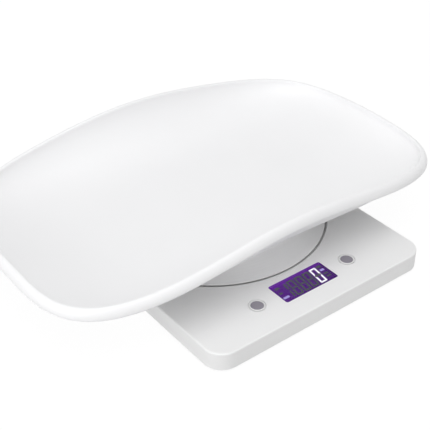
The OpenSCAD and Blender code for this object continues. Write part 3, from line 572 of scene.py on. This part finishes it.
def rim_out(turn):
    c, s = math.cos(turn), math.sin(turn)
    return Vector(
        (
            math.copysign(abs(c) ** (squareness - 1) / half_length, c),
            math.copysign(abs(s) ** (squareness - 1) / half_width, s),
            0,
        )
    ).normalized()


def rim_height(turn):
    level = (rim_middle + rim_end) / 2 - rim_wave
    long_wave = (rim_end - rim_middle) / 2 * math.cos(2 * turn)
    return casing_top + level + long_wave + rim_wave * math.cos(4 * turn)


def floor_edge(turn):
    return (rim_at(turn) - roll * rim_out(turn)) * floor_share


def bowl_point(turn, climb, depth):
    out, foot = rim_out(turn), rim_at(turn) - roll * rim_out(turn)
    height = rim_height(turn) - floor_top
    f, g = math.sin(climb) ** (2 / bowl_squareness), max(math.cos(climb), 0.0) ** (2 / bowl_squareness)
    run = (1 - floor_share) * foot.length
    lean = Vector((f ** (bowl_squareness - 1) / run, g ** (bowl_squareness - 1) / height))
    push = lean.normalized() * depth
    place = foot * (floor_share + (1 - floor_share) * f) + out * push.x
    return Vector((place.x, place.y, rim_height(turn) - height * g - push.y))


def rim_point(turn, out, up):
    place = rim_at(turn) + rim_out(turn) * out
    return Vector((place.x, place.y, rim_height(turn) + up))


def tray_section(turn):
    climbs = [math.pi / 2 * i / bowl_steps for i in range(bowl_steps + 1)]
    points = [bowl_point(turn, climb, 0) for climb in climbs]
    for i in range(1, roll_steps):
        angle = math.pi / 2 * i / roll_steps
        points.append(rim_point(turn, -roll * math.cos(angle), roll * math.sin(angle)))
    for i in range(bead_steps + 1):
        angle = math.pi / 2 * i / bead_steps
        drop = 1 - math.cos(angle)
        points.append(rim_point(turn, bead * math.sin(angle) + flare * drop, roll - bead_height * drop))
    lip = wall / 2
    side, foot = roll - bead_height, roll - bead_height - skirt + lip
    for i in range(lip_steps + 1):
        angle = math.pi * i / lip_steps
        out = bead + flare - lip + lip * math.cos(angle)
        points.append(rim_point(turn, out, foot - lip * math.sin(angle)))
    for i in range(inner_steps + 1):
        angle = inner_climb * i / inner_steps
        out = (bead - wall) * math.cos(angle) + flare * (1 - math.sin(angle))
        points.append(rim_point(turn, out, side + (bead_height - wall) * math.sin(angle)))
    return points + [bowl_point(turn, climb, wall) for climb in reversed(climbs)]


# %% Tray mesh
def make_tray():
    steps = around_steps
    mesh = bmesh.new()
    centre = Vector((tray_centre.x, tray_centre.y, 0))
    rings = []
    for k in range(steps):
        section = tray_section(2 * math.pi * k / steps)
        rings.append([mesh.verts.new(point + centre) for point in section])
    for k in range(steps):
        here, there = rings[k], rings[(k + 1) % steps]
        for i in range(len(here) - 1):
            mesh.faces.new((here[i], here[i + 1], there[i + 1], there[i]))
    for side, height in ((0, floor_top), (-1, floor_top - wall)):
        edge = [ring[side] for ring in rings]
        for share in (0.75, 0.5, 0.25):
            inner = [
                mesh.verts.new(centre + floor_edge(2 * math.pi * k / steps) * share + Vector((0, 0, height)))
                for k in range(steps)
            ]
            for k in range(steps):
                j = (k + 1) % steps
                quad = (edge[k], edge[j], inner[j], inner[k])
                mesh.faces.new(quad if side == 0 else quad[::-1])
            edge = inner
        hub = mesh.verts.new(centre + Vector((0, 0, height)))
        for k in range(steps):
            pair = (edge[k], edge[(k + 1) % steps], hub)
            mesh.faces.new(pair if side == 0 else pair[::-1])
    bmesh.ops.recalc_face_normals(mesh, faces=mesh.faces)
    for face in mesh.faces:
        face.smooth = True
    data = bpy.data.meshes.new("smooth_tray")
    mesh.to_mesh(data)
    mesh.free()
    return data


tray = bpy.data.objects.new("smooth_tray", make_tray())
bpy.context.scene.collection.objects.link(tray)
tray.data.materials.append(tray_abs)
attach(tray, "baby_tray")
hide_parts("tray")
print("tray mesh:", len(tray.data.polygons), "faces")

# %% [markdown]
# ## The batteries
# Two AAA cells lie head to tail behind the battery door. Each is a steel can in a printed film: the
# film is shrunk over the can's two shoulders, and the bare steel shows at both ends. Both parts are
# turned about the cell's own axis, from lists of distances along it and radii. The CAD solid gives
# the length, the radius and the place.


# %% Turned parts
weld = 0.001 * MM
crease = math.radians(35)


def turned(name, profile, start, direction, closed):
    steps = 64
    mesh = bmesh.new()
    rings = [
        [
            mesh.verts.new(
                start
                + Vector((direction * along, math.cos(turn) * radius, math.sin(turn) * radius)) * MM
            )
            for turn in (2 * math.pi * k / steps for k in range(steps))
        ]
        for along, radius in profile
    ]
    for a, b in zip(rings, rings[1:] + rings[:1] if closed else rings[1:]):
        for k in range(steps):
            j = (k + 1) % steps
            mesh.faces.new((a[k], a[j], b[j], b[k]))
    bmesh.ops.remove_doubles(mesh, verts=mesh.verts, dist=weld)
    bmesh.ops.recalc_face_normals(mesh, faces=mesh.faces)
    for face in mesh.faces:
        face.smooth = True
    data = bpy.data.meshes.new(name)
    mesh.to_mesh(data)
    mesh.free()
    data.set_sharp_from_angle(angle=crease)
    part = bpy.data.objects.new(name, data)
    bpy.context.scene.collection.objects.link(part)
    return part


# %% Both cells
def battery(node, direction):
    low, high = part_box(node)
    radius = (high.z - low.z) / 2 / MM
    length = (high.x - low.x) / MM
    nub, film = 0.8, 0.3
    body = length - nub
    start = Vector((low.x if direction > 0 else high.x, (low.y + high.y) / 2, (low.z + high.z) / 2))
    can = turned(
        node + "_can",
        [
            (0.25, 0.0), (0.25, radius * 0.55), (0.05, radius * 0.62), (0.05, radius * 0.8),
            (0.2, radius - film),
            (body - 0.2, radius - film), (body - 0.05, radius * 0.8), (body - 0.05, 2.4), (body - 0.3, 2.1),
            (body - 0.3, 1.9), (length - 0.25, 1.9), (length - 0.07, 1.82), (length, 1.6), (length, 0.0),
        ],
        start, direction, False,
    )
    sleeve = turned(
        node + "_film",
        [
            (0.05, radius * 0.86), (0.0, radius * 0.89), (0.05, radius * 0.94), (0.35, radius * 0.985),
            (0.8, radius), (body - 0.8, radius), (body - 0.35, radius * 0.985), (body - 0.05, radius * 0.94),
            (body, radius * 0.89), (body - 0.05, radius * 0.86), (body - 0.35, radius - film + 0.02),
            (0.35, radius - film + 0.02),
        ],
        start, direction, True,
    )
    for part, finish, slot in ((can, nickel_steel, "nickel_steel"), (sleeve, battery_film, "battery_wrap")):
        part.data.materials.append(finish)
        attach(part, "base")
        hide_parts(node)
    return round(radius, 2), round(length, 1)


print("cells, radius and length in mm:", battery("front_battery", 1), battery("rear_battery", -1))

# %% [markdown]
# ## The load cell bar and its gauges
# A bar load cell is screwed down at one end and carries the pan at the other. The two bores in its
# middle leave thin webs, which bend in a flat S when the pan is pressed, and the gauges glued over
# them feel it. The bar and its gauges are copied from the CAD solids. The long faces have no points
# of their own over the two bores, so the copies are cut across there, where a bend would need them.

# %% Bar and gauges, cut across at the bores
cell_low, cell_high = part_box("load_cell_bar")
cell_middle = (cell_low + cell_high) / 2
bend_cuts = [offset * MM for offset in (-10.5, -9.5, -2.5, 0, 2.5, 9.5, 10.5)]


def bending(node, finish):
    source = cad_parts[node]
    mesh = bmesh.new()
    mesh.from_mesh(source.data)
    mesh.transform(source.matrix_world)
    for cut in bend_cuts:
        everything = mesh.verts[:] + mesh.edges[:] + mesh.faces[:]
        place = Vector((cell_middle.x + cut, 0, 0))
        bmesh.ops.bisect_plane(mesh, geom=everything, dist=weld, plane_co=place, plane_no=(1, 0, 0))
    data = bpy.data.meshes.new("bending_" + node)
    mesh.to_mesh(data)
    mesh.free()
    data.materials.clear()
    data.materials.append(finish)
    part = bpy.data.objects.new("bending_" + node, data)
    bpy.context.scene.collection.objects.link(part)
    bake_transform(part)
    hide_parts(node)
    return len(data.polygons)


print("bar faces:", bending("load_cell_bar", milled_aluminium))
print("gauge faces:", bending("strain_gauges", white_sealant))

# %% [markdown]
# ## Floor and light
# The scale stands on a plain white sweep. To the camera, and in reflections, the floor is mostly an
# even white, and the rest of it is an ordinary matt surface that takes the soft shadow. That
# surface is pale grey, so that it throws less light up under the tray. The light is what a white
# studio gives: an even glow from all round, a broad soft panel overhead that makes the tray's
# shadow, a low one at the left that lifts the faces turned to it, and a weak low one in front that
# reaches the pan under the tray.

# %% Floor
def studio_white(name, glow_share, strength):
    material, tree = new_material(name)
    path = add_node(tree, "ShaderNodeLightPath")
    seen = add_node(
        tree,
        "ShaderNodeMath",
        {0: path.outputs["Is Camera Ray"], 1: path.outputs["Is Glossy Ray"]},
        operation="MAXIMUM",
    )
    seen = add_node(
        tree,
        "ShaderNodeMath",
        {0: seen.outputs["Value"], 1: path.outputs["Is Transmission Ray"]},
        operation="MAXIMUM",
    )
    share = add_node(tree, "ShaderNodeMath", {0: seen.outputs["Value"], 1: glow_share}, operation="MULTIPLY")
    matt = add_node(tree, "ShaderNodeBsdfDiffuse", {"Color": linear("D0D0D0")})
    glow = add_node(tree, "ShaderNodeEmission", {"Color": (1, 1, 1, 1), "Strength": strength})
    mixed = add_node(
        tree, "ShaderNodeMixShader", {"Fac": share.outputs["Value"], 1: matt.outputs[0], 2: glow.outputs[0]}
    )
    finish_material(tree, mixed)
    return material


floor_size = 6.0
floor_glow_share = 0.88
floor_glow = 1.08
floor_data = bpy.data.meshes.new("floor")
corner_signs = ((-1, -1), (1, -1), (1, 1), (-1, 1))
corners = [(x * floor_size / 2, y * floor_size / 2, 0) for x, y in corner_signs]
floor_data.from_pydata(corners, [], [(0, 1, 2, 3)])
floor = bpy.data.objects.new("floor", floor_data)
bpy.context.scene.collection.objects.link(floor)
floor.data.materials.append(studio_white("studio_floor_white", floor_glow_share, floor_glow))
print("floor:", floor_size, "m square")


# %% World and lamps
def studio_world(strength):
    world = bpy.data.worlds.new("studio")
    bpy.context.scene.world = world
    world.use_nodes = True
    tree = world.node_tree
    tree.nodes.clear()
    path = add_node(tree, "ShaderNodeLightPath")
    seen = add_node(
        tree,
        "ShaderNodeMath",
        {0: path.outputs["Is Camera Ray"], 1: path.outputs["Is Glossy Ray"]},
        operation="MAXIMUM",
    )
    level = add_node(
        tree,
        "ShaderNodeMapRange",
        {"Value": seen.outputs["Value"], "To Min": strength, "To Max": 1.0},
    )
    sky = add_node(tree, "ShaderNodeBackground", {"Color": (1, 1, 1, 1), "Strength": level.outputs["Result"]})
    add_node(tree, "ShaderNodeOutputWorld", {"Surface": sky.outputs[0]})


def soft_panel(name, place, aim, size, watts):
    lamp = bpy.data.lights.new(name, "AREA")
    lamp.shape = "SQUARE"
    lamp.size = size
    lamp.energy = watts
    panel = bpy.data.objects.new(name, lamp)
    bpy.context.scene.collection.objects.link(panel)
    place, aim = Vector(place), Vector(aim)
    turn = (aim - place).to_track_quat("-Z", "Y").to_matrix().to_4x4()
    panel.matrix_world = Matrix.Translation(place) @ turn


studio_world(0.56)
soft_panel("overhead_panel", (-0.2, -0.35, 1.45), (0, 0, 0.03), 1.2, 8.9)
soft_panel("left_panel", (-1.6, -0.2, 0.25), (0, 0, 0.03), 1.2, 11.2)
soft_panel("front_panel", (0.1, -1.5, 0.45), (0, 0, 0.03), 1.2, 1.5)
bpy.context.scene.view_settings.view_transform = "Standard"
